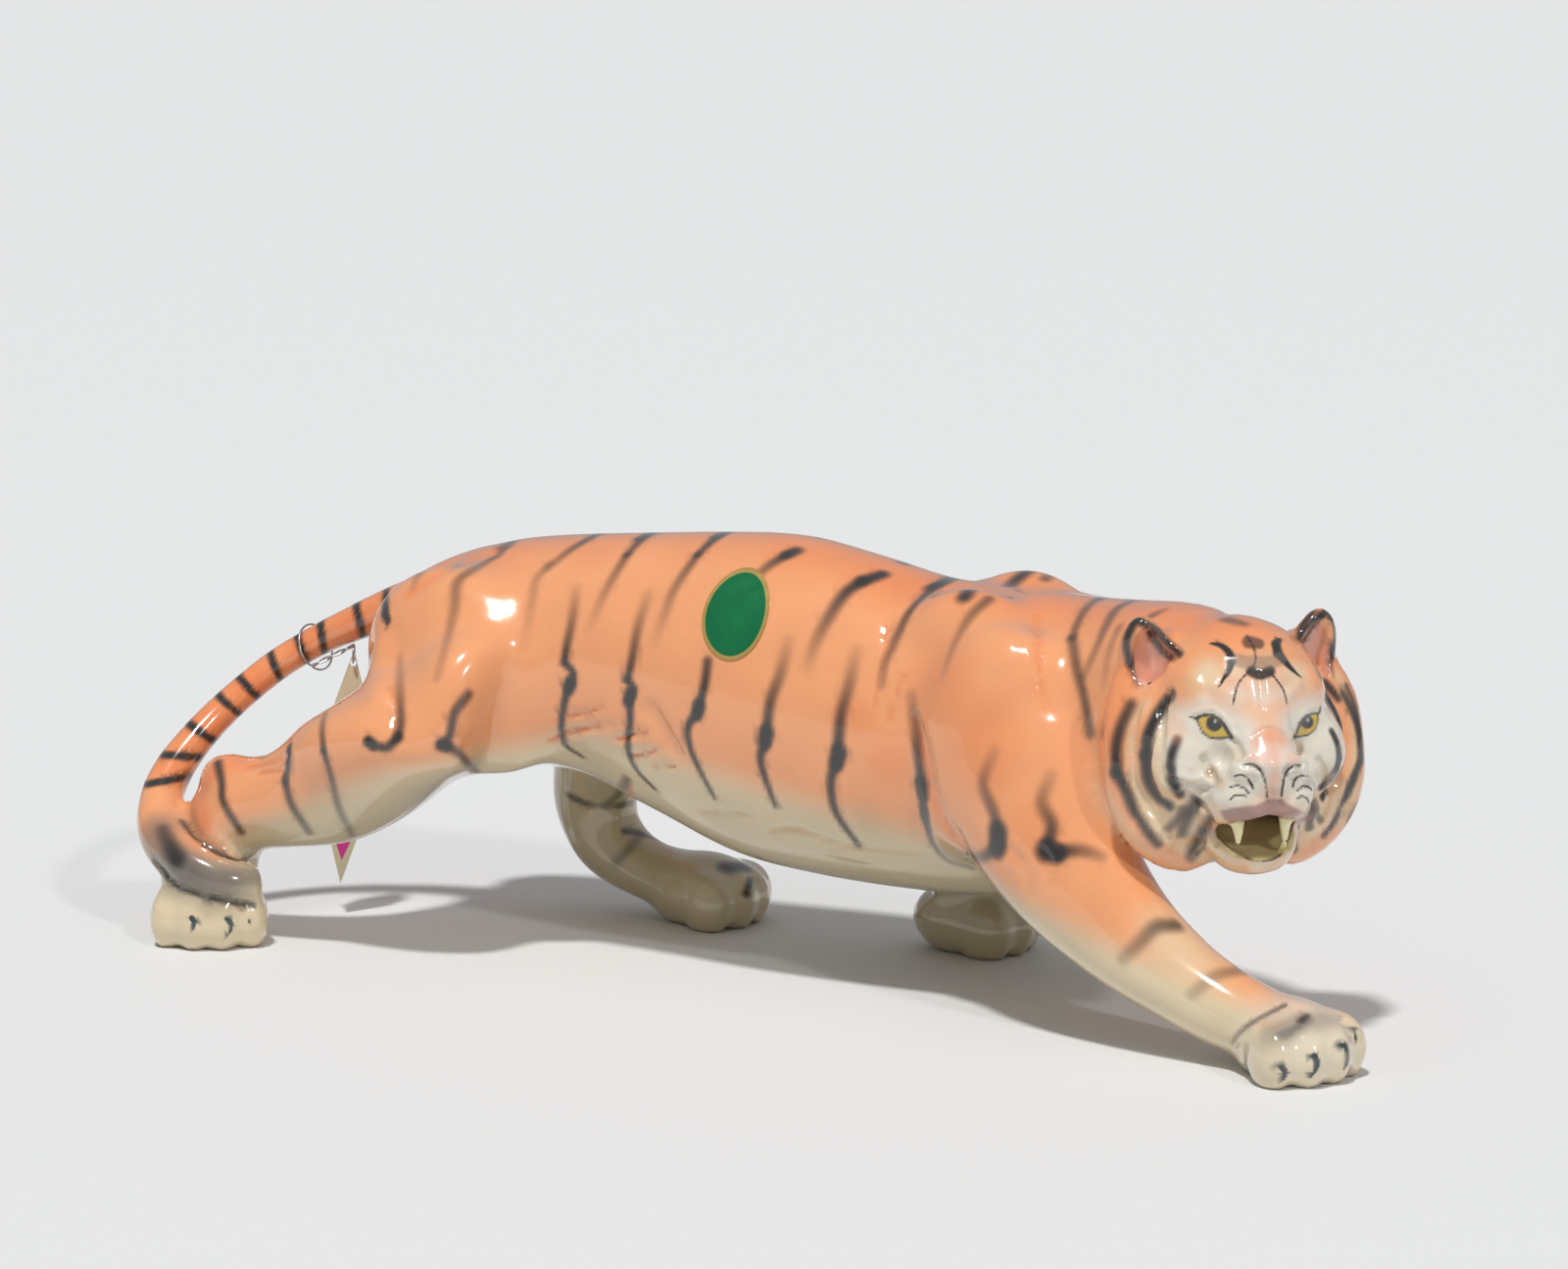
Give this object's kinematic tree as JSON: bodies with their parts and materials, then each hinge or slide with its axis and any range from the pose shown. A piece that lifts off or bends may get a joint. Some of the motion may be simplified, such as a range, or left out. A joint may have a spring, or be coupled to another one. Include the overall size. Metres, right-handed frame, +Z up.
{
  "type": "animal figurine",
  "caption": "Glazed ceramic figurine of a stalking tiger in one hollow casting, with an oval foil label on its flank and a card tag wired to its tail.",
  "frame": {"origin": "on the table, under the middle of the figurine's box", "axes": "+X the way the tiger walks, +Y its left side, +Z up"},
  "size_m": [0.4656, 0.1598, 0.1504],
  "materials": {
    "glaze": "glossy clear glaze over orange and black airbrushed colour",
    "green_foil": "satin green foil paper with a gilt edge",
    "steel_wire": "bright drawn wire",
    "card": "uncoated cream card"
  },
  "bodies": {
    "root": {"tiger": "glaze", "foil_label": "green_foil", "tag_wire": "steel_wire", "hang_tag": "card"}
  },
  "joints": []
}
